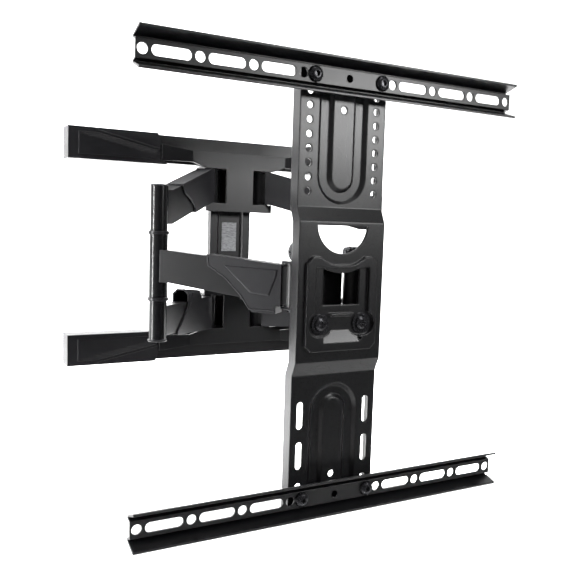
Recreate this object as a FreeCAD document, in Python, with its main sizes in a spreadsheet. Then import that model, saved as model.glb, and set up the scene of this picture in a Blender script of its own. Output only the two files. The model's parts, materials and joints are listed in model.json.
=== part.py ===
import FreeCAD, Part

import os
from math import pi
from types import SimpleNamespace

import Sketcher
from FreeCAD import Rotation, Vector

# Full motion wall mount for a television. +Z is up, -Y points away from the wall into the room,
# and the origin is the middle of the wall plate's back plane. Lengths are millimetres and angles
# degrees. A "depth" is a distance in front of the wall, so its place is y = -depth. The arms form
# a symmetric pantograph: every link has the same length, so the head moves straight out.

DIMENSIONS = {
    # Wall plate: two channel bars joined by a spine, with plastic covers on the bars' ends
    "sheet": 2.5,
    "bar_half_length": 199,
    "bar_height": 32.3,
    "bar_middle": 116.5,
    "bar_depth": 20,
    "stud_half": 152.4,
    "anchor_half": 188,
    "wall_slot_radius": 4.5,
    "wall_slot_length": 44,
    "spine_half_width": 27,
    "spine_rib_half": 17.5,
    "spine_dish_half": 14.5,
    "spine_depth": 9,
    "spine_dish_depth": 5,
    "cover_half_length": 204,
    "cover_depth": 23.5,
    "cover_height": 35.5,
    "cover_wall": 1.5,
    "cover_inner_near": 90,
    "cover_inner_far": 101,
    "label_width": 20,
    "label_height": 36,
    "label_top": 33,
    # Brackets that carry the arms
    "bracket_depth": 34.6,
    "bracket_half_width": 44,
    "bracket_web_half": 18,
    "bracket_low": 46,
    "shelf_low": 56,
    "shelf_high": 97,
    "wing_half_width": 97,
    "wing_bend_half": 62,
    "wing_low": 6,
    "wing_high": 19,
    "wing_rise": 6,
    # Pivots and links
    "pivot_half_spacing": 34,
    "pivot_depth": 21,
    "column_half_spacing": 135.4,
    "column_depth": 128,
    "pin_radius": 4,
    "wall_pin_head_radius": 4.4,
    "running_gap": 0.05,
    "face_gap": 0.3,
    "bush_flange": 1.2,
    "barrel_radius": 9.5,
    "arm_half_thickness": 8,
    "arm_shoulder": 16,
    "arm_inset": 1,
    "arm_sheet": 2,
    "arm_cover_gap": 0.2,
    "arm_cover_wall": 1.6,
    "wall_clearance": 1,
    "hood_bevel": 5,
    "belly_setback": 15.5,
    "rear_column_top": 65,
    "rear_column_bottom": 29.5,
    "rear_low_column_top": 55.5,
    "rear_low_column_bottom": 86.5,
    # Columns
    "column_pin_radius": 7,
    "sleeve_radius": 9.1,
    "mid_sleeve_radius": 9.6,
    "ring_radius": 10.8,
    "ring_height": 3.4,
    "cap_rim": 1,
    "cap_taper": 2,
    "foot_height": 2.4,
    "foot_lip": 1,
    "column_top": 68.5,
    "column_bottom": -90,
    "ring_upper": 19,
    "ring_lower": -49.5,
    # Front arms and head
    "front_column_top": 3,
    "front_column_bottom": -30,
    "head_top": -5,
    "head_bottom": -47,
    "bulge_bottom": -54,
    "belly_root": -30,
    "belly_end_root": -40,
    "yoke_half_width": 43.2,
    "yoke_reach": 9.5,
    "yoke_back": 10,
    "yoke_web_half": 23,
    "yoke_ear_inside": 28.2,
    "yoke_ear_radius": 6.5,
    "tilt_axis_height": 6.5,
    "tilt_screw_radius": 3,
    "knob_radius": 8.5,
    "knob_height": 4.5,
    "tilt_washer": 0.8,
    "tilt_nut": 4,
    "ring_inset": 0.5,
    "head_pin_rim": 3,
    "head_pin_rim_radius": 6.5,
    "dome_edge": 1.5,
    "dome_taper": 2,
    "recess_arm_half": 0.8,
    # Tilt bracket
    "tilt_plate_depth": 264.2,
    "tilt_half_width": 33.5,
    "tilt_ear_radius": 6,
    "tilt_low": -79,
    "tilt_high": 23,
    "hook_radius": 33,
    "level_height": 35.3,
    "level_bolt_half": 23.2,
    "level_bolt_height": -60.4,
    "level_bolt_radius": 3,
    "level_washer_radius": 9.6,
    "level_washer_sheet": 1.6,
    "level_head_radius": 6,
    "level_head_height": 3.4,
    "level_nut_radius": 5.6,
    "level_nut_height": 4.5,
    # Centre plate
    "plate_sheet": 2,
    "plate_half_width": 48.3,
    "plate_top": 183,
    "plate_bottom": -244,
    "plate_depth": 260.5,
    "middle_depth": 266.5,
    "step_high": 50.3,
    "step_low": -110.5,
    "step_height": 13.5,
    "plate_flange": 13.5,
    "recess_depth": 3.6,
    "outer_loop_half": 27.4,
    "inner_loop_half": 11.4,
    "loop_gap": 14.8,
    "upper_loop_end": 53.3,
    "lower_loop_end": 120,
    "frame_rise": 3.6,
    "frame_half_width": 40,
    "frame_top": 3.7,
    "frame_bottom": -86.7,
    "frame_dip": 12,
    "frame_chamfer": 6,
    "tray_half": 30.5,
    "tray_low": -50.5,
    "tray_high": -6,
    "window_half": 20.7,
    "window_low": -42.3,
    "window_high": -8,
    "window_dip": 18.5,
    "dish_radius": 12,
    "channel_low": -67,
    "channel_high": -53.5,
    "lip_low": -78.5,
    "lip_half": 20.5,
    "moon_radius": 28.6,
    "moon_chord": 33.4,
    "peep_radius": 1.6,
    "adjust_hole_half": 37.5,
    "adjust_hole_radius": 3.3,
    "adjust_pitch": 13.2,
    "adjust_slot_half": 37.9,
    "adjust_slot_length": 27,
    "rail_slot_radius": 3.5,
    "level_slot_run": 2.6,
    "level_slot_play": 1.7,
    "adjust_slot_high": -149.5,
    "adjust_slot_middle": -189,
    "middle_hole_radius": 3.4,
    "middle_hole_high": 142.5,
    "middle_hole_low": -211.4,
    # Television rails
    "rail_length": 412,
    "rail_spacing": 400,
    "rail_middle": -29.5,
    "rail_depth": 268,
    "rail_groove": 5.5,
    "rail_lip": 9.5,
    "rail_web_half": 8,
    "rail_groove_near": 9.4,
    "rail_groove_far": 10.4,
    "rail_edge_half": 17.4,
    "rail_lean": 1,
    "rail_hole_radius": 4.6,
    "rail_hole_pitch": 50,
    "rail_slot_length": 35,
    "rail_bolt_radius": 3,
    "rail_screw_radius": 7.6,
    "rail_screw_height": 3.8,
}

DOC = FreeCAD.newDocument("full_motion_mount")
SHEET = DOC.addObject("Spreadsheet::Sheet", "Sizes")
NODES = []
TURNS = {
    "X": Rotation(Vector(0, 0, 1), Vector(1, 0, 0)),
    "Y": Rotation(Vector(0, 0, 1), Vector(0, 1, 0)),
    "Z": Rotation(),
}
BEYOND = 40  # how far a cutting tool runs past the piece it cuts


class Size:
    """A number together with the sheet expression that gives it."""

    def __init__(self, value, text):
        self.value = float(value)
        self.text = text

    def combine(self, other, sign, result, swapped=False):
        left, right = self.text, text_of(other)
        if swapped:
            left, right = right, left
        return Size(result, f"({left} {sign} {right})")

    def __add__(self, other):
        return self.combine(other, "+", self.value + number(other))

    def __radd__(self, other):
        return self + other

    def __sub__(self, other):
        return self.combine(other, "-", self.value - number(other))

    def __rsub__(self, other):
        return self.combine(other, "-", number(other) - self.value, swapped=True)

    def __mul__(self, other):
        return self.combine(other, "*", self.value * number(other))

    def __rmul__(self, other):
        return self * other

    def __truediv__(self, other):
        return self.combine(other, "/", self.value / number(other))

    def __neg__(self):
        return self * -1


def number(amount):
    return amount.value if isinstance(amount, Size) else float(amount)


def text_of(amount):
    return amount.text if isinstance(amount, Size) else f"({amount})"


def fill_sheet():
    """Write the driving dimensions to the sheet and return them as named sizes."""
    for row, (alias, value) in enumerate(DIMENSIONS.items(), start=1):
        SHEET.set(f"A{row}", alias)
        SHEET.set(f"B{row}", str(value))
        SHEET.setAlias(f"B{row}", alias)
    DOC.recompute()
    return SimpleNamespace(**{
        alias: Size(value, f"Sizes.{alias}") for alias, value in DIMENSIONS.items()
    })


D = fill_sheet()


def set_amount(item, name, amount):
    setattr(item, name, number(amount))
    if isinstance(amount, Size):
        item.setExpression(name, amount.text)


def put(item, spot, rotation=Rotation()):
    """Place an item, binding each coordinate that comes from the sheet."""
    item.Placement = FreeCAD.Placement(Vector(*[number(amount) for amount in spot]), rotation)
    for axis, amount in zip("xyz", spot):
        if isinstance(amount, Size):
            item.setExpression(f"Placement.Base.{axis}", amount.text)
    return item


def block(x_span, y_span, z_span):
    item = DOC.addObject("Part::Box", "Block")
    spans = (x_span, y_span, z_span)
    for name, (low, high) in zip(("Length", "Width", "Height"), spans):
        set_amount(item, name, high - low)
    return put(item, [low for low, high in spans])


def rod(axis, start, radius, length):
    item = DOC.addObject("Part::Cylinder", "Rod")
    set_amount(item, "Radius", radius)
    set_amount(item, "Height", length)
    return put(item, start, TURNS[axis])


def cone(axis, start, radius, end_radius, length):
    item = DOC.addObject("Part::Cone", "Cone")
    set_amount(item, "Radius1", radius)
    set_amount(item, "Radius2", end_radius)
    set_amount(item, "Height", length)
    return put(item, start, TURNS[axis])


def fuse(*shapes):
    item = DOC.addObject("Part::MultiFuse", "Joined")
    item.Shapes = list(shapes)
    item.Refine = True
    return item


def cut(base, *tools):
    item = DOC.addObject("Part::Cut", "CutPiece")
    item.Base = base
    item.Tool = tools[0] if len(tools) == 1 else fuse(*tools)
    item.Refine = True
    return item


def common(base, tool):
    item = DOC.addObject("Part::Common", "Overlap")
    item.Base = base
    item.Tool = tool
    return item


def group(*shapes):
    item = DOC.addObject("Part::Compound", "Set")
    item.Links = list(shapes)
    return item


def slot(centre, half_run, radius, y_span, along="X"):
    """A stadium cutter through the thickness in Y; half_run is half the distance of its centres."""
    x, z = centre
    low, high = y_span
    if along == "X":
        ends = ((x - half_run, z), (x + half_run, z))
        middle = block((x - half_run, x + half_run), y_span, (z - radius, z + radius))
    else:
        ends = ((x, z - half_run), (x, z + half_run))
        middle = block((x - radius, x + radius), y_span, (z - half_run, z + half_run))
    rods = [rod("Y", (end_x, low, end_z), radius, high - low) for end_x, end_z in ends]
    return fuse(middle, *rods)


def start_sketch(body, plane, offset):
    sketch = body.newObject("Sketcher::SketchObject", "Outline")
    role = f"{plane}_Plane"
    origin_plane = next(item for item in body.Origin.OriginFeatures if item.Role == role)
    sketch.AttachmentSupport = [(origin_plane, "")]
    sketch.MapMode = "FlatFace"
    sketch.AttachmentOffset = FreeCAD.Placement(Vector(0, 0, number(offset)), Rotation())
    if isinstance(offset, Size):
        sketch.setExpression("AttachmentOffset.Base.z", offset.text)
    return sketch


def fix(sketch, kind, *places):
    """Add a dimension to a sketch; the last of the places is its size."""
    *items, amount = places
    index = sketch.addConstraint(Sketcher.Constraint(kind, *items, number(amount)))
    if isinstance(amount, Size):
        sketch.setExpression(f"Constraints[{index}]", amount.text)


def draw_polygon(sketch, outline):
    corners = [Vector(number(across), number(up), 0) for across, up in outline]
    count = len(corners)
    for index, corner in enumerate(corners):
        sketch.addGeometry(Part.LineSegment(corner, corners[(index + 1) % count]))
    for index, (across, up) in enumerate(outline):
        before = (index - 1) % count
        sketch.addConstraint(Sketcher.Constraint("Coincident", before, 2, index, 1))
        fix(sketch, "DistanceX", -1, 1, index, 1, across)
        fix(sketch, "DistanceY", -1, 1, index, 1, up)


def draw_loop(sketch, radius, end, top):
    """A U outline: a half circle that reaches down to end, with straight sides up to top."""
    centre = end + radius
    low, high, size = number(centre), number(top), number(radius)
    middle = Part.Circle(Vector(0, low, 0), Vector(0, 0, 1), size)
    sketch.addGeometry(Part.ArcOfCircle(middle, pi, 2 * pi))
    sketch.addGeometry(Part.LineSegment(Vector(size, low, 0), Vector(size, high, 0)))
    sketch.addGeometry(Part.LineSegment(Vector(size, high, 0), Vector(-size, high, 0)))
    sketch.addGeometry(Part.LineSegment(Vector(-size, high, 0), Vector(-size, low, 0)))
    for first, second in ((0, 1), (1, 2), (2, 3), (3, 0)):
        sketch.addConstraint(Sketcher.Constraint("Coincident", first, 2, second, 1))
    sketch.addConstraint(Sketcher.Constraint("Vertical", 1))
    sketch.addConstraint(Sketcher.Constraint("Vertical", 3))
    sketch.addConstraint(Sketcher.Constraint("Horizontal", 2))
    sketch.addConstraint(Sketcher.Constraint("PointOnObject", 0, 3, -2))
    sketch.addConstraint(Sketcher.Constraint("Horizontal", 0, 2, 0, 3))
    fix(sketch, "Radius", 0, radius)
    fix(sketch, "DistanceY", -1, 1, 0, 3, centre)
    fix(sketch, "DistanceY", -1, 1, 2, 1, top)


def pad(plane, low, high, draw, taper=0):
    """A padded sketch that spans low to high along the plane's own axis."""
    body = DOC.addObject("PartDesign::Body", "Pad")
    sketch = start_sketch(body, plane, -high if plane == "XZ" else low)
    draw(sketch)
    solid = body.newObject("PartDesign::Pad", "Thickness")
    solid.Profile = sketch
    set_amount(solid, "Length", high - low)
    solid.TaperAngle = taper
    sketch.Visibility = False
    return body


def prism(plane, outline, low, high):
    return pad(plane, low, high, lambda sketch: draw_polygon(sketch, outline))


def flip_side(outline, side):
    """Mirror an outline drawn for the right-hand side."""
    return [(side * across, up) for across, up in outline]


def mirrored_halves(outline):
    """Close a right-hand half outline, drawn from bottom to top, with its mirror image."""
    return outline + [(-across, up) for across, up in reversed(outline)]


def name_node(name, item):
    item.Label = name
    NODES.append(item)
    return item


LEFT, RIGHT = -1, 1
# Free edges of the arm covers as (distance from the arm's first pivot, height)
UPPER_COVER_EDGE = [(108, 71), (101, 64), (88, 60), (79, 55), (72, 50), (69, 42), (69, 30)]
LOWER_COVER_EDGE = [(86, -58), (93, -67), (101, -75), (109, -81), (115, -86), (118, -92)]
FRONT_COVER_EDGE = [(58, 40), (58.5, -8), (67.5, -13.5), (78.5, -20), (94.7, -36), (94.7, -60)]
BELLY_START, BELLY_DEEP = 90.4, 107.5
ADJUST_HOLES = 9
# Deeper parts of the covers in the same measure, as outlines of their outsides
HOOD_OUTLINE = [(42, -62), (52, -46), (86, -42.5), (86, -62)]
HOOD_HOLLOW = [(44, -62), (53, -47.6), (90, -43.7), (90, -62)]
SIDES = (("left", LEFT), ("right", RIGHT))
LEVELS = (("upper", 1), ("lower", -1))
HEAD_DEPTH = 2 * D.column_depth - D.pivot_depth
REACH = D.column_half_spacing - D.pivot_half_spacing
RISE = D.column_depth - D.pivot_depth
LINK = Size(
    (REACH.value**2 + RISE.value**2) ** 0.5,
    f"sqrt({REACH.text} * {REACH.text} + {RISE.text} * {RISE.text})",
)


def span(level, low, high):
    """A range of heights, mirrored below the middle of the wall plate for the lower level."""
    return (low, high) if level > 0 else (-high, -low)


# Wall plate

def wall_bar(level):
    depth, sheet, middle = D.bar_depth, D.sheet, level * D.bar_middle
    low, high = middle - D.bar_height / 2, middle + D.bar_height / 2
    outline = [
        (0, low), (-depth, low), (-depth, high), (0, high),
        (0, high - sheet), (sheet - depth, high - sheet),
        (sheet - depth, low + sheet), (0, low + sheet),
    ]
    bar = prism("YZ", outline, -D.bar_half_length, D.bar_half_length)
    half_run = D.wall_slot_length / 2 - D.wall_slot_radius
    tools = []
    for label, side in SIDES:
        studs = (side * D.stud_half, middle)
        tools.append(slot(studs, half_run, D.wall_slot_radius, (-BEYOND, 0)))
        anchor = (side * D.anchor_half, -BEYOND, middle)
        tools.append(rod("Y", anchor, D.wall_slot_radius, BEYOND))
    return cut(bar, *tools)


def wall_spine():
    """A pressed strip between the bars: a shallow dish between two raised ribs."""
    rib_inner, dish_half, sheet = D.spine_rib_half, D.spine_dish_half, D.arm_sheet
    half, depth, dish = D.spine_half_width, D.spine_depth, D.spine_dish_depth
    lean = sheet / 2
    top = D.bar_middle - D.bar_height / 2
    half_outline = [
        (dish_half, -dish), (rib_inner, -depth), (half, -depth), (half, 0),
        (half - sheet, 0), (half - sheet, sheet - depth),
        (rib_inner + lean, sheet - depth), (dish_half + lean, sheet - dish),
    ]
    return prism("XY", mirrored_halves(half_outline), -top, top)


def bracket_plate(level):
    """The bracket's front sheet: a web between the arms, a low strip and wings on the bar."""
    half, wing, shelf = D.bracket_half_width, D.wing_half_width, D.shelf_high
    half_outline = [
        (half, D.bracket_low), (half, D.shelf_low), (D.bracket_web_half, D.shelf_low),
        (D.bracket_web_half, shelf), (half, shelf), (D.wing_bend_half, shelf + D.wing_low),
        (wing, shelf + D.wing_low), (wing, shelf + D.wing_high + D.wing_rise),
        (D.wing_bend_half, shelf + D.wing_high),
    ]
    outline = [(across, level * up) for across, up in mirrored_halves(half_outline)]
    face = prism("XZ", outline, -D.bracket_depth - 1, 0)
    front, tip, back = -D.bracket_depth, -D.cover_depth - D.sheet, -D.cover_depth
    half_plan = [(D.wing_bend_half, front), (wing, tip), (wing, back),
                 (D.wing_bend_half, front + D.sheet)]
    low, high = span(level, D.bracket_low, shelf + BEYOND)
    plan = half_plan + [(-across, up) for across, up in reversed(half_plan)]
    return common(face, prism("XY", plan, low, high))


def bracket_shelf(z_low, z_high):
    """A horizontal shelf of the bracket, notched round the spine."""
    gap = D.face_gap
    half, spine = D.bracket_half_width, D.spine_half_width + gap
    front, notch = D.sheet - D.bracket_depth, -D.spine_depth - gap
    outline = [
        (-half, 0), (-half, front), (half, front), (half, 0),
        (spine, 0), (spine, notch), (-spine, notch), (-spine, 0),
    ]
    return prism("XY", outline, z_low, z_high)


def wall_bracket(level):
    sheet = D.sheet
    shelves = [
        bracket_shelf(*span(level, D.shelf_high, D.shelf_high + sheet)),
        bracket_shelf(*span(level, D.shelf_low - sheet, D.shelf_low)),
    ]
    wing_top = D.shelf_high + D.wing_high
    wing_return = block(
        (-D.wing_bend_half, D.wing_bend_half), (sheet - D.bracket_depth, -D.bar_depth),
        span(level, wing_top - sheet, wing_top),
    )
    bracket = fuse(bracket_plate(level), wing_return, *shelves)
    holes = [
        rod("Z", (side * D.pivot_half_spacing, -D.pivot_depth, -D.bar_middle),
            D.pin_radius, 2 * D.bar_middle)
        for label, side in SIDES
    ]
    return cut(bracket, *holes)


def end_cover(side, level):
    """A plastic shell over one end of a bar, with a slanted inner end."""
    half, depth, wall = D.cover_half_length, D.cover_depth, D.cover_wall
    near, far, bend = D.cover_inner_near, D.cover_inner_far, D.cover_depth / 2
    low, high = span(level, D.bar_middle - D.cover_height / 2, D.bar_middle + D.cover_height / 2)
    plan = flip_side([(half, -depth), (half, 0), (near, 0), (near, -depth)], side)
    top_inner, low_inner = (far, near) if level > 0 else (near, far)
    face = flip_side([(half, low), (half, high), (top_inner, high), (low_inner, low)], side)
    shell = common(prism("XY", plan, low, high), prism("XZ", face, -BEYOND, 0))
    inner_x, outer_x = sorted((side * (near - 1), side * (half - wall)), key=number)
    hollow = block((inner_x, outer_x), (wall - depth, 0), (low + wall, high - wall))
    step = block(
        sorted((side * (near - 1), side * (far + bend)), key=number), (bend - depth, 0), (low, high)
    )
    return cut(shell, hollow, step)


def wall_pins():
    """Four pins, each with a flat head under its bracket's inner shelf."""
    pins = []
    for level_name, level in LEVELS:
        for side_name, side in SIDES:
            x, y = side * D.pivot_half_spacing, -D.pivot_depth
            low, high = span(level, D.shelf_low - D.sheet - 3, D.shelf_low - D.sheet)
            shank_low, shank_high = span(level, D.shelf_low - D.sheet - 1, D.shelf_high + D.sheet + D.face_gap)
            head = rod("Z", (x, y, low), D.wall_pin_head_radius, high - low)
            shank = rod("Z", (x, y, shank_low), D.pin_radius, shank_high - shank_low)
            pins.append(fuse(head, shank))
    return group(*pins)


def flanged_bushes(places, z_pairs):
    """Thin plastic thrust rings round the pins, at the two ends of each barrel."""
    rings = []
    for x, y in places:
        for low, high in z_pairs:
            ring = rod("Z", (x, y, low), D.barrel_radius + 0.6, high - low)
            hole = rod("Z", (x, y, low - 1), D.pin_radius, high - low + 2)
            rings.append(cut(ring, hole))
    return group(*rings)


def wall_bushes():
    places = [(side * D.pivot_half_spacing, -D.pivot_depth) for label, side in SIDES]
    flange = D.bush_flange
    pairs = []
    for label, level in LEVELS:
        pairs.append(span(level, D.shelf_high - flange, D.shelf_high))
        pairs.append(span(level, D.shelf_low, D.shelf_low + flange))
    return flanged_bushes(places, pairs)


def spine_label():
    dish = -D.spine_dish_depth
    half, high = D.label_width / 2, D.label_top
    return block((-half, half), (dish - D.face_gap, dish), (high - D.label_height, high))


def build_wall():
    for label, level in LEVELS:
        name_node(f"wall_bar_{label}", wall_bar(level))
        name_node(f"wall_bracket_{label}", wall_bracket(level))
        for side_name, side in SIDES:
            name_node(f"end_cover_{label}_{side_name}", end_cover(side, level))
    name_node("wall_spine", wall_spine())
    name_node("wall_pivot_pins", wall_pins())
    name_node("wall_pivot_bushes", wall_bushes())
    name_node("spine_label", spine_label())


# Links. Each is built along +X from its first pivot and then turned to its place.

def turn_link(item, side, start_x, start_depth, forward):
    """Set a link at its first pivot; forward is 1 for a rear arm and -1 for a front arm."""
    put(item, (side * start_x, -start_depth, 0))
    item.Placement.Rotation = Rotation(Vector(0, 0, 1), 0)
    swing = f"atan({RISE.text} / {REACH.text})"
    if side == RIGHT:
        angle = f"-{swing}" if forward > 0 else f"{swing} - 180 deg"
    else:
        angle = f"180 deg + {swing}" if forward > 0 else f"-{swing}"
    item.setExpression("Placement.Rotation.Angle", angle)
    return item


def arm_outline(first, second, shoulder, grow=0, length=LINK):
    """A side outline between two (bottom, top) ranges, with a level part at each end."""
    (first_low, first_high), (second_low, second_high) = first, second
    return [
        (0, first_low - grow), (0, first_high + grow), (shoulder, first_high + grow),
        (length - shoulder, second_high + grow), (length, second_high + grow),
        (length, second_low - grow), (length - shoulder, second_low - grow),
        (shoulder, first_low - grow),
    ]


def arm_channel(first, second, shoulder):
    """A steel channel, open below, that follows the arm's side outline."""
    half, sheet = D.arm_half_thickness, D.arm_sheet
    outer = prism("XZ", arm_outline(first, second, shoulder), -half, half)
    hollow_first = (first[0] - BEYOND, first[1] - sheet)
    hollow_second = (second[0] - BEYOND, second[1] - sheet)
    inner_outline = arm_outline(hollow_first, hollow_second, shoulder)
    inner = prism("XZ", inner_outline, sheet - half, half - sheet)
    return cut(outer, inner)


def barrel(z_span, place=0):
    low, high = z_span
    return rod("Z", (place, 0, low), D.barrel_radius, high - low)


def bore(radius, place=0):
    return rod("Z", (place, 0, -D.bar_middle), radius, 2 * D.bar_middle)


def barrel_span(low, high):
    """The heights of a barrel that turns between two shelves, with a thrust ring at each end."""
    gap = D.bush_flange + D.running_gap * 2
    return low + gap, high - gap


def rear_spans(level):
    """The height ranges of a rear arm at its wall pivot and at its column."""
    low, high = barrel_span(D.shelf_low, D.shelf_high)
    wall_span = span(level, low + D.arm_inset, high - D.arm_inset)
    if level > 0:
        return wall_span, (D.rear_column_bottom, D.rear_column_top)
    return wall_span, (-D.rear_low_column_bottom, -D.rear_low_column_top)


def rear_arm(level):
    wall_span, column_span = rear_spans(level)
    channel = arm_channel(wall_span, column_span, D.arm_shoulder)
    arm = fuse(channel, barrel(span(level, *barrel_span(D.shelf_low, D.shelf_high))))
    return cut(arm, bore(D.pin_radius + D.running_gap), bore(D.sleeve_radius, LINK))


def side_slice(outline, half):
    return prism("XZ", outline, -half, half)


def bevelled_slice(outline, half):
    """A side slice whose two long top edges are bevelled."""
    top, low, bevel = max(up for _, up in outline), -D.bar_middle, D.hood_bevel
    arch = mirrored_halves([(half - bevel, top), (half, top - bevel), (half, low)])
    return common(side_slice(outline, half), prism("YZ", arch, 0, LINK))


def rear_cover(level):
    """A plastic sleeve over the wall half of a rear arm, its free edge cut to an S curve."""
    wall_span, column_span = rear_spans(level)
    gap, wall = D.arm_cover_gap, D.arm_cover_wall
    inner_half = D.arm_half_thickness + gap
    outline = arm_outline(wall_span, column_span, D.arm_shoulder, gap + wall)
    inside = arm_outline(wall_span, column_span, D.arm_shoulder, gap)
    outer, inner = side_slice(outline, inner_half + wall), side_slice(inside, inner_half)
    if level > 0:
        shell = cut(outer, inner)
    else:
        hood = bevelled_slice(HOOD_OUTLINE, inner_half + wall)
        shell = cut(fuse(outer, hood), inner, bevelled_slice(HOOD_HOLLOW, inner_half))
    start = D.barrel_radius + D.wall_clearance
    low, high = -D.bar_middle, D.bar_middle
    edge = UPPER_COVER_EDGE if level > 0 else LOWER_COVER_EDGE
    first, last = edge[0][0], edge[-1][0]
    outline = [(start, low), (start, high), (first, high)] + edge + [(last, low)]
    return common(shell, prism("XZ", outline, -BEYOND, BEYOND))


def sleeve(radius, z_span, inner_radius):
    low, high = z_span
    outer = rod("Z", (0, 0, low), radius, high - low)
    return cut(outer, rod("Z", (0, 0, low - 1), inner_radius, high - low + 2))


def column_place(item, side):
    return put(item, (side * D.column_half_spacing, -D.column_depth, 0))


def build_column(label, side):
    gap, ring = D.face_gap / 3, D.ring_height
    upper = (D.ring_upper + ring, D.column_top)
    lower = (D.column_bottom, D.ring_lower)
    pin_length = D.column_top - D.column_bottom
    rim, foot = D.cap_rim, D.foot_height
    pieces = {
        "column_sleeve_upper": sleeve(D.sleeve_radius, upper, D.column_pin_radius),
        "column_sleeve_lower": sleeve(D.sleeve_radius, lower, D.column_pin_radius),
        "column_pin": rod("Z", (0, 0, D.column_bottom), D.column_pin_radius, pin_length),
        "column_rings": group(
            sleeve(D.ring_radius, (D.ring_upper, D.ring_upper + ring), D.column_pin_radius),
            sleeve(D.ring_radius, (D.ring_lower, D.ring_lower + ring), D.column_pin_radius),
        ),
        "column_caps": group(
            fuse(
                rod("Z", (0, 0, D.column_top), D.sleeve_radius, rim),
                cone("Z", (0, 0, D.column_top + rim), D.sleeve_radius,
                     D.sleeve_radius - D.cap_taper, rim),
            ),
            rod("Z", (0, 0, D.column_bottom - foot), D.sleeve_radius + D.foot_lip, foot),
        ),
    }
    for name, item in pieces.items():
        name_node(f"{name}_{label}", column_place(item, side))
    mid_low, mid_high = D.ring_lower + ring + gap, D.ring_upper - gap
    mid_bore = D.column_pin_radius + D.running_gap
    middle = sleeve(D.mid_sleeve_radius, (mid_low, mid_high), mid_bore)
    name_node(f"front_sleeve_{label}", column_place(middle, side))


def front_spans():
    column_span = (D.front_column_bottom, D.front_column_top)
    low, high = barrel_span(D.head_bottom, D.head_top)
    return column_span, (low + D.arm_inset, high - D.arm_inset)


def front_arm():
    column_span, head_span = front_spans()
    channel = arm_channel(column_span, head_span, D.arm_shoulder)
    arm = fuse(channel, barrel(barrel_span(D.head_bottom, D.head_top), LINK))
    return cut(arm, bore(D.mid_sleeve_radius), bore(D.pin_radius + D.running_gap, LINK))


def front_cover():
    """A cable cover over the head end of a front arm, with a deeper belly near the head."""
    column_span, head_span = front_spans()
    gap, wall, bottom = D.arm_cover_gap, D.arm_cover_wall, D.bulge_bottom
    inner_half = D.arm_half_thickness + gap
    outline = arm_outline(column_span, head_span, D.arm_shoulder, gap + wall)
    sides = side_slice(outline, inner_half + wall)
    belly_end = LINK - D.belly_setback
    root, end_root = D.belly_root, D.belly_end_root
    belly = side_slice([(BELLY_START, root), (BELLY_DEEP, bottom), (belly_end, bottom),
                        (belly_end, end_root)], inner_half + wall)
    inside = side_slice(arm_outline(column_span, head_span, D.arm_shoulder, gap), inner_half)
    trough_end, floor = belly_end - wall, bottom + wall
    trough = side_slice([(BELLY_START + wall, root + wall), (BELLY_DEEP + 1, floor),
                         (trough_end, floor), (trough_end, end_root)], inner_half)
    shell = cut(fuse(sides, belly), inside, trough)
    end = LINK - D.barrel_radius - D.wall_clearance
    window = side_slice(FRONT_COVER_EDGE + [(end, -BEYOND * 2), (end, BEYOND)], BEYOND)
    return common(shell, window)


def build_links():
    for label, side in SIDES:
        for level_name, level in LEVELS:
            for name, item in (("rear_arm", rear_arm(level)), ("rear_cover", rear_cover(level))):
                turn_link(item, side, D.pivot_half_spacing, D.pivot_depth, 1)
                name_node(f"{name}_{level_name}_{label}", item)
        build_column(label, side)
        for name, item in (("front_arm", front_arm()), ("front_cover", front_cover())):
            turn_link(item, side, D.column_half_spacing, D.column_depth, -1)
            name_node(f"{name}_{label}", item)


# Head and tilt

def head_yoke():
    """Two shelves round the arm ends, a web between them and two upright tilt ears."""
    half, sheet, height = D.yoke_half_width, D.sheet, D.tilt_axis_height
    front, back = -HEAD_DEPTH - D.yoke_reach, D.yoke_back - HEAD_DEPTH
    shelves = [
        block((-half, half), (front, back), (low, low + sheet))
        for low in (D.head_top, D.head_bottom - sheet)
    ]
    web = block(
        (-D.yoke_web_half, D.yoke_web_half), (sheet - HEAD_DEPTH, 2 * sheet - HEAD_DEPTH),
        (D.head_bottom - sheet, D.head_top + sheet),
    )
    radius, inside = D.yoke_ear_radius, D.yoke_ear_inside
    ears = []
    for label, side in SIDES:
        near, far = sorted((side * inside, side * (inside + sheet)), key=number)
        foot = block((near, far), (-radius - HEAD_DEPTH, radius - HEAD_DEPTH),
                     (D.head_top + sheet, height))
        ears.extend((foot, rod("X", (near, -HEAD_DEPTH, height), radius, sheet)))
    pin_holes = [
        rod("Z", (side * D.pivot_half_spacing, -HEAD_DEPTH, D.head_bottom - BEYOND),
            D.pin_radius, BEYOND + D.head_top - D.head_bottom + sheet)
        for label, side in SIDES
    ]
    tilt_hole = rod("X", (-half, -HEAD_DEPTH, height), D.tilt_screw_radius + D.running_gap, 2 * half)
    return cut(fuse(*shelves, web, *ears), *pin_holes, tilt_hole)


def head_pins():
    pins = []
    rim, rim_radius = D.head_pin_rim, D.head_pin_rim_radius
    for label, side in SIDES:
        x, y = side * D.pivot_half_spacing, -HEAD_DEPTH
        bottom = D.head_bottom - D.sheet
        shank = rod("Z", (x, y, bottom), D.pin_radius, D.head_top + D.sheet - bottom)
        pins.append(fuse(shank, rod("Z", (x, y, bottom - rim), rim_radius, rim)))
    return group(*pins)


def head_bushes():
    places = [(side * D.pivot_half_spacing, -HEAD_DEPTH) for label, side in SIDES]
    flange = D.bush_flange
    pairs = [(D.head_top - flange, D.head_top), (D.head_bottom, D.head_bottom + flange)]
    return flanged_bushes(places, pairs)


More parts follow.
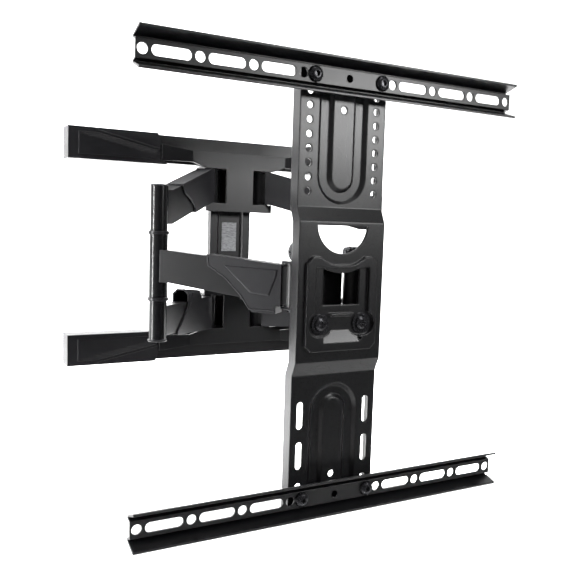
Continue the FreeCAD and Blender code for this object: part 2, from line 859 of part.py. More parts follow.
def tilt_bracket():
    """A plate behind the centre plate with two side ears that turn on the tilt screws."""
    half, depth, sheet = D.tilt_half_width, D.tilt_plate_depth, D.sheet
    radius, height = D.tilt_ear_radius, D.tilt_axis_height
    plate = block((-half, half), (-depth, sheet - depth), (D.tilt_low, D.tilt_high))
    ears = []
    for label, side in SIDES:
        near, far = sorted((side * (half - sheet), side * half), key=number)
        arm = block((near, far), (sheet - depth, -HEAD_DEPTH), (height - radius, height + radius))
        ears.extend((arm, rod("X", (near, -HEAD_DEPTH, height), radius, sheet)))
    y_span = (-depth - 1, sheet - depth + 1)
    thickness = y_span[1] - y_span[0]
    saddle = rod("Y", (0, y_span[0], D.level_height), D.hook_radius, thickness)
    window = block((-D.window_half - sheet, D.window_half + sheet), y_span,
                   (D.window_low - sheet, D.window_high + sheet))
    screw = rod("X", (-half - 1, -HEAD_DEPTH, height), D.tilt_screw_radius, 2 * half + 2)
    bolts = [
        rod("Y", (side * D.level_bolt_half, y_span[0], D.level_bolt_height),
            D.level_bolt_radius, thickness)
        for label, side in SIDES
    ]
    return cut(fuse(plate, *ears), saddle, window, screw, *bolts)


def cross_recess(axis, centre, arm_length, deep):
    """A cross-shaped cutter, centred on a screw head that faces along an axis."""
    x, y, z = centre
    half, slim = arm_length / 2, D.recess_arm_half
    if axis == "X":
        return fuse(
            block((x - deep, x + deep), (y - half, y + half), (z - slim, z + slim)),
            block((x - deep, x + deep), (y - slim, y + slim), (z - half, z + half)),
        )
    return fuse(
        block((x - half, x + half), (y - deep, y + deep), (z - slim, z + slim)),
        block((x - slim, x + slim), (y - deep, y + deep), (z - half, z + half)),
    )


def tilt_screw(side, radius, height):
    """A shank through both ears with a domed, recessed head outside them."""
    y, z = -HEAD_DEPTH, D.tilt_axis_height
    face = D.tilt_half_width + D.tilt_washer
    low, high = sorted((side * (D.yoke_ear_inside - D.tilt_nut - 1), side * face), key=number)
    shank = rod("X", (low, y, z), D.tilt_screw_radius, high - low)
    base, top = sorted((side * face, side * (face + height)), key=number)
    edge, taper = D.dome_edge, D.dome_taper
    rim = rod("X", (base if side > 0 else base + edge, y, z), radius, height - edge)
    first, second = (radius, radius - taper) if side > 0 else (radius - taper, radius)
    dome = cone("X", (top - edge if side > 0 else base, y, z), first, second, edge)
    recess = cross_recess("X", (side * (face + height), y, z), radius, edge)
    return cut(fuse(shank, rim, dome), recess)


def tilt_screws():
    """A large hand knob on the left and a small screw head on the right."""
    knob = tilt_screw(LEFT, D.knob_radius, D.knob_height)
    return group(knob, tilt_screw(RIGHT, D.tilt_ear_radius, D.knob_height - 1))


def tilt_washers():
    """A spring washer between each tilt screw's head and the ear."""
    rings = []
    for label, side in SIDES:
        near, far = sorted(
            (side * D.tilt_half_width, side * (D.tilt_half_width + D.tilt_washer)), key=number
        )
        y, z = -HEAD_DEPTH, D.tilt_axis_height
        ring = rod("X", (near, y, z), D.tilt_ear_radius - D.ring_inset, far - near)
        rings.append(cut(ring, rod("X", (near - 1, y, z), D.tilt_screw_radius, far - near + 2)))
    return group(*rings)


def tilt_nuts():
    nuts = []
    for label, side in SIDES:
        low, high = sorted(
            (side * (D.yoke_ear_inside - D.tilt_nut), side * D.yoke_ear_inside), key=number
        )
        y, z = -HEAD_DEPTH, D.tilt_axis_height
        nut = rod("X", (low, y, z), D.tilt_ear_radius - D.ring_inset, high - low)
        nuts.append(cut(nut, rod("X", (low - 1, y, z), D.tilt_screw_radius, high - low + 2)))
    return group(*nuts)


def domed_screw(x, z, face, reach, shank_radius, head_radius, head_height):
    """A screw along Y with a domed, recessed head standing on the face in front."""
    top, edge = face - head_height, D.dome_edge
    low_part = rod("Y", (x, top + edge, z), head_radius, head_height - edge)
    dome = cone("Y", (x, top, z), head_radius - D.dome_taper, head_radius, edge)
    shank = rod("Y", (x, face, z), shank_radius, reach)
    recess = cross_recess("Y", (x, top, z), head_radius, edge)
    return cut(fuse(low_part, dome, shank), recess)


def ring_y(x, z, low, high, radius, hole_radius):
    ring = rod("Y", (x, low, z), radius, high - low)
    return cut(ring, rod("Y", (x, low - 1, z), hole_radius, high - low + 2))


def level_parts():
    """Screws, washers and nuts that clamp the centre plate to the tilt bracket."""
    washer_back = -D.middle_depth - D.face_gap / 3
    washer_front = washer_back - D.level_washer_sheet
    nut_low = D.sheet - D.tilt_plate_depth
    nut_high = nut_low + D.level_nut_height
    reach = nut_high + D.ring_inset - washer_front
    head, height = D.level_head_radius, D.level_head_height
    screws, washers, nuts = [], [], []
    for label, side in SIDES:
        x, z, radius = side * D.level_bolt_half, D.level_bolt_height, D.level_bolt_radius
        screws.append(domed_screw(x, z, washer_front, reach, radius, head, height))
        washers.append(ring_y(x, z, washer_front, washer_back, D.level_washer_radius, radius))
        nuts.append(ring_y(x, z, nut_low, nut_high, D.level_nut_radius, radius))
    name_node("level_screws", group(*screws))
    name_node("level_washers", group(*washers))
    name_node("level_nuts", group(*nuts))


def build_head():
    name_node("head_yoke", head_yoke())
    name_node("head_pins", head_pins())
    name_node("head_bushes", head_bushes())
    name_node("tilt_bracket", tilt_bracket())
    name_node("tilt_screws", tilt_screws())
    name_node("tilt_washers", tilt_washers())
    name_node("tilt_nuts", tilt_nuts())
    level_parts()


# Centre plate and rails

def plate_face_line(shift):
    """The centre plate's folded side profile, set back by shift from its front face."""
    shallow, deep = shift - D.plate_depth, shift - D.middle_depth
    return [
        (shallow, D.plate_top), (shallow, D.step_high), (deep, D.step_high - D.step_height),
        (deep, D.step_low + D.step_height), (shallow, D.step_low), (shallow, D.plate_bottom),
    ]


def plate_slab(thickness, x_low, x_high):
    outline = plate_face_line(0) + list(reversed(plate_face_line(thickness)))
    return prism("YZ", outline, x_low, x_high)


def loop_pad(radius, end, y_low, y_high, level, taper):
    top = D.plate_top + 60
    body = pad("XZ", y_low, y_high, lambda sketch: draw_loop(sketch, radius, end, top), taper)
    if level < 0:
        body.Placement = FreeCAD.Placement(Vector(), Rotation(Vector(0, 1, 0), 180))
    return body


def recessed_band(sheet_plate, level):
    """Press a U-shaped band back into the plate and leave its middle at the plate's level."""
    deep, sheet, face, slope = D.recess_depth, D.plate_sheet, -D.plate_depth, 45
    outer, inner, stop = D.outer_loop_half, D.inner_loop_half, D.recess_depth - D.plate_depth
    end = D.upper_loop_end if level > 0 else D.lower_loop_end
    inner_end = end + D.loop_gap
    # On a 45 degree wall the sheet is this much thicker across than through
    across = sheet * 1.4
    floor_grow, island_grow = across - sheet, deep + sheet
    under_shrink = across - sheet - island_grow - 1
    limits = block(
        (-D.plate_half_width, D.plate_half_width), (-D.rail_depth, BEYOND - D.plate_depth),
        span_of_section(level),
    )
    backing = loop_pad(outer - deep + floor_grow, end + deep - floor_grow,
                       face, stop + sheet, level, slope)
    hollow = loop_pad(outer - deep, end + deep, face - 1, stop, level, slope)
    island = loop_pad(inner + island_grow, inner_end - island_grow,
                      face - 1, stop + sheet, level, -slope)
    under = loop_pad(inner - under_shrink, inner_end + under_shrink,
                     face + sheet, stop + sheet + 1, level, -slope)
    pressed = cut(fuse(sheet_plate, common(backing, limits)), cut(hollow, island))
    return cut(pressed, common(under, limits))


def span_of_section(level):
    return (0, D.plate_top) if level > 0 else (D.plate_bottom, D.step_low)


def frame_outline(inset):
    """The raised frame round the tilt window: a rounded box with a hollow top edge."""
    half, low, high = D.frame_half_width - inset, D.frame_bottom + inset, D.frame_top - inset
    chamfer = D.frame_chamfer
    return [
        (half - chamfer, low), (half, low + chamfer), (half, high - chamfer),
        (half - chamfer, high), (chamfer - half, high), (-half, high - chamfer),
        (-half, low + chamfer), (chamfer - half, low),
    ]


def raised_frame(sheet_plate):
    """Press the frame forward, keeping the window tray and the screw dishes at plate level."""
    rise, sheet, face = D.frame_rise, D.plate_sheet, -D.middle_depth
    front, back = face - rise, face + sheet
    saddle_radius = D.moon_radius + D.frame_dip
    saddle = rod("Y", (0, front - 1, D.level_height), saddle_radius, BEYOND)
    raised = cut(prism("XZ", frame_outline(0), front, back), saddle)
    inner_saddle = rod("Y", (0, front - 1, D.level_height), saddle_radius + sheet, BEYOND)
    hollow = cut(prism("XZ", frame_outline(sheet), front + sheet, back + 1), inner_saddle)
    half, low, high = D.tray_half, D.tray_low, D.tray_high
    dishes = [block((-half, half), (front - 1, face), (low, high))]
    floors = [block((-half - sheet, half + sheet), (front, back), (low - sheet, high + sheet))]
    for label, side in SIDES:
        centre = (side * D.level_bolt_half, D.level_bolt_height)
        dishes.append(slot(centre, D.level_slot_run, D.dish_radius, (front - 1, face)))
        floors.append(slot(centre, D.level_slot_run, D.dish_radius + sheet, (front, back)))
    half, low, high = D.level_bolt_half, D.channel_low, D.channel_high
    dishes.append(block((-half, half), (front - 1, face), (low, high)))
    dishes.append(lower_lip(front, face, low))
    floors.append(block((-half, half), (front, back), (D.lip_low - sheet, high + sheet)))
    pressed = cut(fuse(sheet_plate, raised), hollow)
    return cut(fuse(pressed, *floors), *dishes)


def lower_lip(front, face, top):
    """A cutter for the slanted lip that rises from the channel to the frame's face."""
    outline = [(front - 1, D.lip_low), (front, D.lip_low), (face, top), (front - 1, top)]
    return prism("YZ", outline, -D.lip_half, D.lip_half)


def centre_plate():
    half, sheet = D.plate_half_width, D.plate_sheet
    face = plate_slab(sheet, -half, half)
    flanges = [
        plate_slab(D.plate_flange, *sorted((side * half, side * (half - sheet)), key=number))
        for label, side in SIDES
    ]
    plate = fuse(face, *flanges)
    for label, level in LEVELS:
        plate = recessed_band(plate, level)
    plate = raised_frame(plate)
    return cut(plate, *plate_openings())


def plate_openings():
    y_span = (-D.rail_depth - D.rail_lip, D.plate_flange - D.plate_depth)
    low, thickness = y_span[0], y_span[1] - y_span[0]
    half, height = D.window_half, D.level_height
    moon = common(
        rod("Y", (0, low, height), D.moon_radius, thickness),
        block((-D.plate_half_width, D.plate_half_width), y_span, (0, D.moon_chord)),
    )
    window = cut(
        block((-half, half), y_span, (D.window_low, D.window_high)),
        rod("Y", (0, low - 1, height), D.moon_radius + D.window_dip, thickness + 2),
    )
    tools = [moon, window]
    upper, lower = rail_heights()
    hole, bolt = D.adjust_hole_radius, D.level_bolt_radius
    half_run = D.adjust_slot_length / 2 - D.rail_slot_radius
    for label, side in SIDES:
        x, slot_x = side * D.adjust_hole_half, side * D.adjust_slot_half
        for step in range(ADJUST_HOLES):
            tools.append(rod("Y", (x, low, upper - step * D.adjust_pitch), hole, thickness))
        for middle in (D.adjust_slot_high, D.adjust_slot_middle, lower):
            tools.append(slot((slot_x, middle), half_run, D.rail_slot_radius, y_span, "Z"))
        centre = (side * D.level_bolt_half, D.level_bolt_height)
        tools.append(slot(centre, D.level_slot_run, bolt + D.level_slot_play, y_span))
    for z in (D.middle_hole_high, D.middle_hole_low):
        tools.append(rod("Y", (0, low, z), D.middle_hole_radius, thickness))
    peep = (D.lip_half + D.peep_radius, low, D.lip_low + D.rail_slot_radius)
    return tools + [rod("Y", peep, D.peep_radius, thickness)]


def rail_heights():
    half = D.rail_spacing / 2
    return (D.rail_middle + half, D.rail_middle - half)


def rail(middle):
    """A pressed rail: flat web, a set-back groove each side and flanges that slant forward."""
    sheet, web = D.plate_sheet, -D.rail_depth
    groove, tip = web + D.rail_groove, web - D.rail_lip
    flat, near, far, edge, lean = (
        D.rail_web_half, D.rail_groove_near, D.rail_groove_far, D.rail_edge_half, D.rail_lean
    )
    front = [(tip, edge - sheet), (groove, far), (groove, near), (web, flat)]
    back = [(web + sheet, flat - lean), (groove + sheet, near - lean), (groove + sheet, far + lean),
            (tip + sheet, edge), (tip, edge)]
    outline = (
        [(y, middle + up) for y, up in front]
        + [(y, middle - up) for y, up in reversed(front)]
        + [(y, middle - up) for y, up in reversed(back)]
        + [(y, middle + up) for y, up in back]
    )
    half = D.rail_length / 2
    return cut(prism("YZ", outline, -half, half), *rail_openings(middle))


def rail_openings(middle):
    y_span = (-D.rail_depth - BEYOND / 4, BEYOND / 4 - D.rail_depth)
    low, thickness = y_span[0], y_span[1] - y_span[0]
    pitch, radius = D.rail_hole_pitch, D.rail_hole_radius
    half_run = D.rail_slot_length / 2 - radius
    tools = [rod("Y", (0, low, middle), D.middle_hole_radius, thickness)]
    for label, side in SIDES:
        bolt = (side * D.adjust_hole_half, low, middle)
        tools.append(rod("Y", bolt, D.rail_bolt_radius, thickness))
        for step in (1, 2, 3, 4):
            tools.append(rod("Y", (side * step * pitch, low, middle), radius, thickness))
        for step in (1.5, 2.5, 3.5):
            tools.append(slot((side * step * pitch, middle), half_run, radius, y_span))
    return tools


def build_screen_side():
    name_node("centre_plate", centre_plate())
    upper, lower = rail_heights()
    name_node("rail_upper", rail(upper))
    name_node("rail_lower", rail(lower))
    screws, nuts = [], []
    face, nut_low = -D.rail_depth, D.plate_sheet - D.plate_depth
    nut_high = nut_low + D.level_nut_height
    reach = nut_high + D.ring_inset - face
    bolt, head, height = D.rail_bolt_radius, D.rail_screw_radius, D.rail_screw_height
    for z in (upper, lower):
        for label, side in SIDES:
            x = side * D.adjust_hole_half
            screws.append(domed_screw(x, z, face, reach, bolt, head, height))
            nuts.append(ring_y(x, z, nut_low, nut_high, D.level_nut_radius, bolt))
    name_node("rail_screws", group(*screws))
    name_node("rail_nuts", group(*nuts))


def check_document():
    for item in DOC.Objects:
        if "Invalid" in item.State or "Error" in item.State:
            raise RuntimeError(f"{item.Label} failed: {item.State}")
    for item in NODES:
        if item.Shape.isNull() or not item.Shape.isValid():
            raise RuntimeError(f"{item.Label} has no valid shape")


def export_nodes():
    os.makedirs("parts", exist_ok=True)
    for item in NODES:
        item.Shape.exportStep(f"parts/{item.Label}.step")
        solids = len(item.Shape.Solids)
        print(f"{item.Label}: {solids} solids, {item.Shape.Volume / 1000:.2f} cm3")


build_wall()
build_links()
build_head()
build_screen_side()
DOC.recompute()
check_document()
export_nodes()
print(len(NODES), "nodes")
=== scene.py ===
import json
import math

import bmesh
import bpy
from mathutils import Matrix, Vector


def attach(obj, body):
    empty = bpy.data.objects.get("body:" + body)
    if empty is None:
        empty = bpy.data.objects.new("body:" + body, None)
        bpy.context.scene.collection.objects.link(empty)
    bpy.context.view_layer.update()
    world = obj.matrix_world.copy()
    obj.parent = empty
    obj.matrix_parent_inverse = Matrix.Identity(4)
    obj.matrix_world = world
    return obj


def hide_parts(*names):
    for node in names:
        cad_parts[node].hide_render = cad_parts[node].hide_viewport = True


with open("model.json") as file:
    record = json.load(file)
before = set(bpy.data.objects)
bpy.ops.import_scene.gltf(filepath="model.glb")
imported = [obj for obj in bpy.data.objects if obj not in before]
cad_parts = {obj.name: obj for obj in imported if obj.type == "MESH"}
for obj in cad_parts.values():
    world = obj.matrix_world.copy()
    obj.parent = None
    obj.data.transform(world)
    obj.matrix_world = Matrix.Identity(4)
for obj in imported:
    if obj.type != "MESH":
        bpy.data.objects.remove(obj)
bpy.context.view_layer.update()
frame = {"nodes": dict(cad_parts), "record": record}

NODES = frame["nodes"]

MM = 0.001
SIDES = (("left", -1), ("right", 1))
LEVELS = (("upper", 1), ("lower", -1))

# The camera stands in front of the mount, on its left and a little above the middle
CAMERA_PLACE = Vector((-0.38793, -0.85186, 0.03377))
CAMERA_AZIMUTH, CAMERA_HEIGHT, CAMERA_ROLL = (math.radians(a) for a in (-29.5168, 5.1738, 1.7863))
FOCAL_LENGTH, SENSOR = 45.369, 36.0

FLOOR_HEIGHT = -0.62
DARK_END = Vector((0.30, -0.84, -0.45))

# Places on the mount in millimetres
BAR_MIDDLE = 116.5
COVER_FRONT = 23.5
WALL_PIVOT = Vector((34, -21, 0))
COLUMN = Vector((135.4, -128, 0))
COLUMN_TOP, COLUMN_BOTTOM = 68.5, -90
HEAD_PIVOT = Vector((34, -235, 0))
RAIL_FACE, RAIL_SCREW_HALF = -268, 37.5
RAIL_HEIGHTS = (170.5, -229.5)
ARM_COVER_HALF = 9.8

# Relief of the covers, as (along, up) outlines
END_PANEL = [(193, -12.5), (193, 12.5), (171, 12.5), (100, -2.5), (105, -12.5)]
FRONT_PANEL = [(77, -9), (133, -11), (132.5, -17), (125, -37), (105, -35)]
FRONT_RIM = [(59.5, -2), (60.5, -10), (68, -14.5), (79, -21.5), (95.5, -38), (104.5, -50.8), (130.5, -51)]
UPPER_RIM = [(106, 69), (100, 63), (88, 58.5), (79, 53.8), (72.5, 49)]
LOWER_RIM = [(76, -46.5), (75, -54), (88, -65), (100, -75), (109, -82)]

# Turned pieces, as (radius, height) pairs from the axis out and back
CAP_PROFILE = [
    (0, -0.5), (8.6, -0.5), (9.1, 0), (9.3, 0.5), (9.1, 1.1), (8.4, 1.5), (6.5, 1.8), (3, 1.98), (0, 2)
]
FOOT_PROFILE = [
    (0, -2.4), (8.2, -2.4), (9.4, -2.2), (10.05, -1.5), (10.05, -0.6), (9.5, -0.1), (9.1, 0.3), (0, 0.3)
]
SCREW_PROFILE = [
    (0, 1.2), (2.3, 1.2), (2.5, 1.5), (2.6, 3.5), (2.9, 3.75), (3.6, 3.7), (5.2, 3.3), (6.5, 2.5),
    (7.2, 1.5), (7.5, 0.6), (7.5, 0.0), (3.0, 0.0), (3.0, -14.4), (0, -14.4)
]

# Fine ribs on the end covers: count, first height, spacing, slope of the field's edge, and length
RIB_COUNT, RIB_TOP, RIB_STEP, RIB_SLOPE, RIB_LENGTH = 12, 9.5, 1.55, 4.73, 26
RIB_START, RIB_END, RIB_LIFT = 105, 188, 0.78


# Materials

def make_material(name):
    material = bpy.data.materials.new(name)
    material.use_nodes = True
    nodes = material.node_tree.nodes
    shader = nodes["Principled BSDF"]
    return material, nodes, material.node_tree.links, shader


def noise(nodes, links, space, scale, detail, roughness=0.5):
    texture = nodes.new("ShaderNodeTexNoise")
    texture.inputs["Scale"].default_value = scale
    texture.inputs["Detail"].default_value = detail
    texture.inputs["Roughness"].default_value = roughness
    links.new(space, texture.inputs["Vector"])
    return texture


def ramp(nodes, links, source, low, high, start=0.3, end=0.7):
    """Map a factor to a grey or a colour between low and high."""
    mapped = nodes.new("ShaderNodeValToRGB")
    for element, position, colour in zip(mapped.color_ramp.elements, (start, end), (low, high)):
        element.position = position
        element.color = (*colour, 1) if isinstance(colour, tuple) else (colour, colour, colour, 1)
    links.new(source, mapped.inputs["Fac"])
    return mapped.outputs["Color"]


def coated(name, dark, light, gloss, grain, depth, specular=0.25, soften=0.6, metallic=0.0,
           stretch=(1, 1, 1), cloud=18.0):
    """A coated surface: slow colour drift, fine grain and soft pressed edges, soften in mm."""
    material, nodes, links, shader = make_material(name)
    place = nodes.new("ShaderNodeTexCoord").outputs["Object"]
    if stretch != (1, 1, 1):
        mapping = nodes.new("ShaderNodeMapping")
        mapping.inputs["Scale"].default_value = stretch
        links.new(place, mapping.inputs["Vector"])
        place = mapping.outputs["Vector"]
    drift = noise(nodes, links, place, cloud, 3.0)
    links.new(ramp(nodes, links, drift.outputs["Fac"], dark, light), shader.inputs["Base Color"])
    fine = noise(nodes, links, place, grain, 3.0, 0.6)
    links.new(ramp(nodes, links, fine.outputs["Fac"], *gloss), shader.inputs["Roughness"])
    bump = nodes.new("ShaderNodeBump")
    bump.inputs["Strength"].default_value = depth
    bump.inputs["Distance"].default_value = 0.0002
    links.new(fine.outputs["Fac"], bump.inputs["Height"])
    edge = nodes.new("ShaderNodeBevel")
    edge.samples = 6
    edge.inputs["Radius"].default_value = soften * MM
    links.new(edge.outputs["Normal"], bump.inputs["Normal"])
    links.new(bump.outputs["Normal"], shader.inputs["Normal"])
    shader.inputs["Metallic"].default_value = metallic
    shader.inputs["Specular IOR Level"].default_value = specular
    return material


STEEL_DARK, STEEL_LIGHT = (0.0045, 0.0045, 0.0053), (0.0068, 0.0068, 0.0078)
MATERIALS = {
    "coated_steel": coated(
        "powder_coat", STEEL_DARK, STEEL_LIGHT, (0.28, 0.38), 1500, 0.10, 0.42, 0.9),
    "pressed_plate": coated(
        "pressed_plate", STEEL_DARK, STEEL_LIGHT, (0.26, 0.36), 1500, 0.10, 0.42, 1.9),
    "column_steel": coated(
        "column_coat", STEEL_DARK, (0.0065, 0.0065, 0.0075), (0.17, 0.24), 1100, 0.04, 0.5, 0.8),
    "cover_plastic": coated(
        "cover_plastic", (0.0072, 0.0070, 0.0090), (0.0100, 0.0098, 0.0122), (0.36, 0.48),
        2600, 0.25, 0.4, 0.8),
    "fastener": coated(
        "black_zinc", (0.018, 0.018, 0.020), (0.032, 0.032, 0.036), (0.20, 0.32),
        900, 0.08, 0.5, 0.4, 0.6),
    "nylon": coated(
        "dark_nylon", (0.010, 0.010, 0.012), (0.016, 0.016, 0.018), (0.25, 0.35), 700, 0.06, 0.4, 0.5),
    "label": coated(
        "silver_film", (0.20, 0.205, 0.215), (0.48, 0.49, 0.51), (0.30, 0.42), 500, 0.04, 0.4, 0.2,
        0.0, (1, 1, 3), 260.0),
}
# Edge roundings in millimetres, by the start of a node's name
BEVELS = {"centre_plate": 0.9, "rail": 0.6, "wall_bar": 0.6, "wall_bracket": 0.6, "end_cover": 1.0,
          "rear_arm": 0.8, "front_arm": 0.8, "rear_cover": 0.6, "front_cover": 0.6, "column": 0.7}


def round_edges(item, width):
    bevel = item.modifiers.new("edges", "BEVEL")
    bevel.width = width * MM
    bevel.segments = 2
    bevel.limit_method = "ANGLE"
    bevel.angle_limit = math.radians(28)


def dress_nodes():
    """Give every CAD node its finish and small rounded edges."""
    slots = {part["node"]: part["material_slot"] for part in frame["record"]["subparts"]}
    for name, item in NODES.items():
        item.data.materials.clear()
        item.data.materials.append(MATERIALS["pressed_plate" if name == "centre_plate" else slots[name]])
        widths = [width for start, width in BEVELS.items() if name.startswith(start)]
        round_edges(item, widths[0] if widths else 0.3)


# Relief on the plastic covers

def add_piece(name, form, body, material):
    mesh = bpy.data.meshes.new(name)
    bmesh.ops.recalc_face_normals(form, faces=form.faces)
    form.to_mesh(mesh)
    form.free()
    item = bpy.data.objects.new(name, mesh)
    bpy.context.collection.objects.link(item)
    mesh.materials.append(MATERIALS[material])
    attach(item, body)
    return item


def place_on(plane, along, up, off=0.0):
    """A point on a plane given by its origin, its direction and its outward normal, in metres."""
    origin, direction, normal = plane
    return (origin + direction * along + normal * off + Vector((0, 0, up))) * MM


def raised_panel(form, plane, outline, rise, slope):
    """Add a low pillow: a foot ring sunk into the plane, a sloped edge and a flat top."""
    centre = Vector((sum(a for a, u in outline), sum(u for a, u in outline))) / len(outline)
    rings = []
    for off, inset in ((-0.3, 0.0), (0.05, 0.0), (rise, slope)):
        ring = []
        for along, up in outline:
            inward = (centre - Vector((along, up))).normalized() * inset
            ring.append(form.verts.new(place_on(plane, along + inward.x, up + inward.y, off)))
        rings.append(ring)
    count = len(outline)
    for low, high in zip(rings, rings[1:]):
        for index in range(count):
            after = (index + 1) % count
            form.faces.new((low[index], low[after], high[after], high[index]))
    form.faces.new(rings[-1])
    form.faces.new(rings[0][::-1])


def bead(form, plane, path, radius=0.7, rise=0.35, sides=8):
    """Add a rounded rib that follows a path on the plane, sunk so that only its crest shows."""
    points = [Vector(point) for point in path]
    rings = []
    for index, point in enumerate(points):
        before, after = points[max(index - 1, 0)], points[min(index + 1, len(points) - 1)]
        heading = (after - before).normalized()
        across = Vector((-heading.y, heading.x))
        ring = []
        for step in range(sides):
            angle = 2 * math.pi * step / sides
            spot = point + across * radius * math.cos(angle)
            off = rise * math.sin(angle) - rise * 0.1
            ring.append(form.verts.new(place_on(plane, spot.x, spot.y, off)))
        rings.append(ring)
    for low, high in zip(rings, rings[1:]):
        for step in range(sides):
            after = (step + 1) % sides
            form.faces.new((low[step], low[after], high[after], high[step]))
    form.faces.new(rings[0][::-1])
    form.faces.new(rings[-1])


def smooth_path(path, steps=5):
    """Round a path's corners with a curve through its points."""
    points = [Vector(point) for point in path]
    padded = [points[0] * 2 - points[1]] + points + [points[-1] * 2 - points[-2]]
    rounded = []
    for p0, p1, p2, p3 in zip(padded, padded[1:], padded[2:], padded[3:]):
        for step in range(steps):
            t = step / steps
            rounded.append(0.5 * (2 * p1 + (p2 - p0) * t + (2 * p0 - 5 * p1 + 4 * p2 - p3) * t**2
                                  + (3 * p1 - p0 - 3 * p2 + p3) * t**3))
    return rounded + [points[-1]]


def flipped(path, across, up):
    return [(across * a, up * u) for a, u in path]


def end_cover_relief(label, side, level_name, level):
    """An inner panel with a slanted edge, a bead at the inner end and a field of fine ribs."""
    plane = (Vector((0, -COVER_FRONT, level * BAR_MIDDLE)), Vector((1, 0, 0)), Vector((0, -1, 0)))
    form = bmesh.new()
    raised_panel(form, plane, flipped(END_PANEL, side, level), 0.8, 1.4)
    bead(form, plane, flipped([(98.5, -14), (92.5, -6.5)], side, level), 0.9, 0.6)
    bead(form, plane, flipped([(174, 15.5), (97, -0.8)], side, level), 0.8, 0.55)
    rib_plane = (plane[0] + plane[2] * RIB_LIFT, plane[1], plane[2])
    for step in range(RIB_COUNT):
        up = RIB_TOP - step * RIB_STEP
        start = RIB_START + (up + 2.5) * RIB_SLOPE
        end = min(start + RIB_LENGTH, RIB_END)
        bead(form, rib_plane, flipped([(end, up), (start, up)], side, level), 0.42, 0.3, 6)
    add_piece(f"end_cover_relief_{level_name}_{label}", form, "wall", "cover_plastic")


def arm_planes(start, end, side):
    """The two outer faces of a cover on an arm that runs from start to end."""
    first = Vector((side * start.x, start.y, 0))
    direction = (Vector((side * end.x, end.y, 0)) - first).normalized()
    normal = Vector((direction.y, -direction.x, 0))
    for way in (-1, 1):
        yield first + normal * way * ARM_COVER_HALF, direction, normal * way


def arm_relief():
    for label, side in SIDES:
        form = bmesh.new()
        for plane in arm_planes(COLUMN, HEAD_PIVOT, side):
            raised_panel(form, plane, FRONT_PANEL, 0.7, 1.6)
            bead(form, plane, FRONT_RIM, 0.9, 0.6)
        add_piece(f"front_cover_relief_{label}", form, f"front_{label}", "cover_plastic")
        form = bmesh.new()
        for plane in arm_planes(WALL_PIVOT, COLUMN, side):
            bead(form, plane, smooth_path(UPPER_RIM), 0.8, 0.45)
            bead(form, plane, smooth_path(LOWER_RIM), 0.8, 0.45)
        add_piece(f"rear_cover_rims_{label}", form, f"rear_{label}", "cover_plastic")


def turned(form, centre, profile, axis=(0, 0, 1), count=40):
    """Add a body of revolution from (radius, height) pairs that start and end on the axis."""
    turn = Vector(axis).to_track_quat("Z", "Y")
    rings = []
    for radius, height in profile:
        if radius == 0:
            rings.append([form.verts.new((centre + turn @ Vector((0, 0, height))) * MM)])
            continue
        ring = []
        for i in range(count):
            angle = 2 * math.pi * i / count
            spot = Vector((radius * math.cos(angle), radius * math.sin(angle), height))
            ring.append(form.verts.new((centre + turn @ spot) * MM))
        rings.append(ring)
    for low, high in zip(rings, rings[1:]):
        for i in range(count):
            j = (i + 1) % count
            corners = [low[i % len(low)], low[j % len(low)], high[j % len(high)], high[i % len(high)]]
            form.faces.new(list(dict.fromkeys(corners)))


def column_ends():
    """Domed caps and flanged feet in place of the plain ones."""
    for label, side in SIDES:
        form = bmesh.new()
        turned(form, Vector((side * COLUMN.x, COLUMN.y, COLUMN_TOP)), CAP_PROFILE)
        turned(form, Vector((side * COLUMN.x, COLUMN.y, COLUMN_BOTTOM)), FOOT_PROFILE)
        item = add_piece(f"column_ends_{label}", form, f"rear_{label}", "nylon")
        for face in item.data.polygons:
            face.use_smooth = True
        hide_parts(f"column_caps_{label}")


def rail_screws():
    """Low domed heads with a round drive recess, on plain shanks."""
    form = bmesh.new()
    for label, side in SIDES:
        for height in RAIL_HEIGHTS:
            turned(form, Vector((side * RAIL_SCREW_HALF, RAIL_FACE, height)), SCREW_PROFILE, (0, -1, 0))
    item = add_piece("rail_screw_heads", form, "screen", "fastener")
    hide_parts("rail_screws")


# Stage

def make_floor():
    """A pale floor that curves up into a backdrop behind the mount."""
    mesh = bpy.data.meshes.new("floor")
    form = bmesh.new()
    near, far, width, bend, height = -1.0, 5.0, 9.0, 2.0, 7.0
    profile = [(near, 0.0), (far - bend, 0.0)]
    for step in range(1, 13):
        angle = math.radians(90 * step / 12)
        profile.append((far - bend + bend * math.sin(angle), bend - bend * math.cos(angle)))
    profile.append((far, height))
    rows = [
        [form.verts.new((side * width, along, FLOOR_HEIGHT + up)) for along, up in profile]
        for side in (-1, 1)
    ]
    for index in range(len(profile) - 1):
        form.faces.new((rows[0][index], rows[1][index], rows[1][index + 1], rows[0][index + 1]))
    form.to_mesh(mesh)
    form.free()
    for face in mesh.polygons:
        face.use_smooth = True
    floor = bpy.data.objects.new("floor", mesh)
    bpy.context.collection.objects.link(floor)
    floor.data.materials.append(coated(
        "pale_floor", (0.95, 0.95, 0.95), (0.97, 0.97, 0.97), (0.75, 0.85), 40, 0.02, 0.2))


def area_light(name, place, target, width, height, power):
    light = bpy.data.lights.new(name, "AREA")
    light.shape = "RECTANGLE"
    light.size, light.size_y = width, height
    light.energy = power
    item = bpy.data.objects.new(name, light)
    item.location = place
    item.rotation_euler = (Vector(target) - Vector(place)).to_track_quat("-Z", "Y").to_euler()
    bpy.context.collection.objects.link(item)


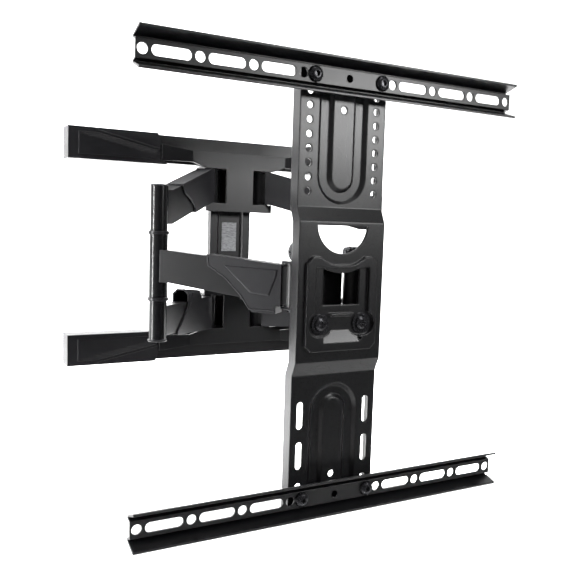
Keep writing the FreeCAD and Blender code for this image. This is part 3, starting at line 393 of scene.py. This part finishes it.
def make_world():
    """A white studio with a dark end in front of the mount, so that flat faces stay black."""
    world = bpy.data.worlds.new("studio")
    world.use_nodes = True
    nodes, links = world.node_tree.nodes, world.node_tree.links
    facing = nodes.new("ShaderNodeVectorMath")
    facing.operation = "DOT_PRODUCT"
    facing.inputs[1].default_value = DARK_END
    links.new(nodes.new("ShaderNodeTexCoord").outputs["Generated"], facing.inputs[0])
    shade = ramp(nodes, links, facing.outputs["Value"], 0.72, 0.10, 0.15, 0.72)
    links.new(shade, nodes["Background"].inputs["Color"])
    nodes["Background"].inputs["Strength"].default_value = 0.5
    bpy.context.scene.world = world


def make_lights():
    area_light("backdrop", (0.5, 0.9, 1.2), (1.2, 5, 0.6), 6.0, 4.0, 900)
    area_light("floor_wash", (0.0, 1.2, 2.4), (0.3, 2.2, FLOOR_HEIGHT), 5.0, 2.0, 160)
    area_light("overhead", (0.35, -1.0, 1.35), (0, -0.15, 0.1), 0.9, 0.5, 11)
    area_light("front", (1.1, -1.9, 0.46), (0, -0.2, 0.1), 0.5, 0.3, 17)
    area_light("strip", (-1.4, -0.06, 0.1), (-0.1, -0.12, 0), 0.06, 1.4, 26)


def make_camera():
    azimuth, height, roll = CAMERA_AZIMUTH, CAMERA_HEIGHT, CAMERA_ROLL
    back = Vector((
        math.sin(azimuth) * math.cos(height), -math.cos(azimuth) * math.cos(height), math.sin(height)
    ))
    right = Vector((math.cos(azimuth), math.sin(azimuth), 0))
    up = back.cross(right)
    turned_right = right * math.cos(roll) + up * math.sin(roll)
    turned_up = up * math.cos(roll) - right * math.sin(roll)
    lens = bpy.data.cameras.new("camera")
    lens.lens, lens.sensor_width, lens.sensor_fit = FOCAL_LENGTH, SENSOR, "HORIZONTAL"
    camera = bpy.data.objects.new("camera", lens)
    axes = Matrix((turned_right, turned_up, back)).transposed().to_4x4()
    camera.matrix_world = Matrix.Translation(CAMERA_PLACE) @ axes
    bpy.context.collection.objects.link(camera)
    bpy.context.scene.camera = camera


bpy.context.scene.view_settings.view_transform = "Standard"
dress_nodes()
for cover_label, cover_side in SIDES:
    for cover_level, cover_up in LEVELS:
        end_cover_relief(cover_label, cover_side, cover_level, cover_up)
arm_relief()
column_ends()
rail_screws()
make_floor()
make_world()
make_lights()
make_camera()
